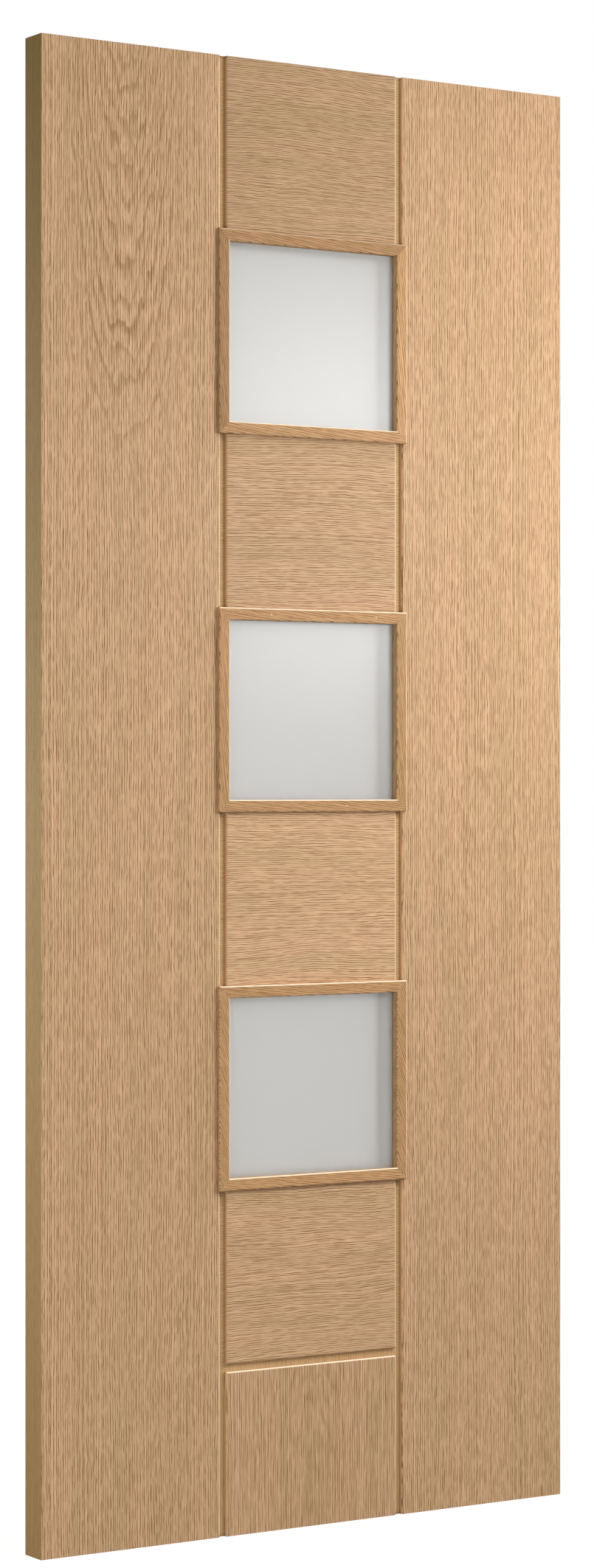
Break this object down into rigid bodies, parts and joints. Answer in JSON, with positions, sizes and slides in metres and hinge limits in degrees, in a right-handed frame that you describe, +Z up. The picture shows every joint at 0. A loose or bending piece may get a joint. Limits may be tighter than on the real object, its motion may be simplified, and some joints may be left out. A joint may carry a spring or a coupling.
{
  "type": "glazed interior door leaf",
  "caption": "Oak veneered interior door leaf with wide stiles, a centre column of boards divided by shadow grooves, and square obscure glass lights in mitred raised beads.",
  "frame": {"origin": "on the hinge edge at the foot of the leaf, midway through its thickness", "axes": "+X across the leaf from the hinge edge to the lock edge, +Y through the thickness with the pictured face towards -Y, +Z up the leaf"},
  "size_m": [0.838, 0.056, 1.981],
  "materials": {
    "oak_veneer": "clear satin lacquer on oak veneer",
    "oak_lipping": "clear satin lacquer on solid oak",
    "oak_bead": "clear satin lacquer on solid oak",
    "obscure_glass": "satin obscure",
    "spacer_bar": "white lacquer"
  },
  "bodies": {
    "root": {"hinge_edge_lipping": "oak_lipping", "lock_edge_lipping": "oak_lipping", "hinge_stile": "oak_veneer", "lock_stile": "oak_veneer", "top_rail": "oak_veneer", "upper_mid_rail": "oak_veneer", "lower_mid_rail": "oak_veneer", "base_rail": "oak_veneer", "kick_panel": "oak_veneer", "lower_front_glass": "obscure_glass", "lower_back_glass": "obscure_glass", "lower_glass_spacer": "spacer_bar", "lower_front_sill_bead": "oak_bead", "lower_front_head_bead": "oak_bead", "lower_front_hinge_bead": "oak_bead", "lower_front_lock_bead": "oak_bead", "lower_back_sill_bead": "oak_bead", "lower_back_head_bead": "oak_bead", "lower_back_hinge_bead": "oak_bead", "lower_back_lock_bead": "oak_bead", "middle_front_glass": "obscure_glass", "middle_back_glass": "obscure_glass", "middle_glass_spacer": "spacer_bar", "middle_front_sill_bead": "oak_bead", "middle_front_head_bead": "oak_bead", "middle_front_hinge_bead": "oak_bead", "middle_front_lock_bead": "oak_bead", "middle_back_sill_bead": "oak_bead", "middle_back_head_bead": "oak_bead", "middle_back_hinge_bead": "oak_bead", "middle_back_lock_bead": "oak_bead", "upper_front_glass": "obscure_glass", "upper_back_glass": "obscure_glass", "upper_glass_spacer": "spacer_bar", "upper_front_sill_bead": "oak_bead", "upper_front_head_bead": "oak_bead", "upper_front_hinge_bead": "oak_bead", "upper_front_lock_bead": "oak_bead", "upper_back_sill_bead": "oak_bead", "upper_back_head_bead": "oak_bead", "upper_back_hinge_bead": "oak_bead", "upper_back_lock_bead": "oak_bead"}
  },
  "joints": []
}
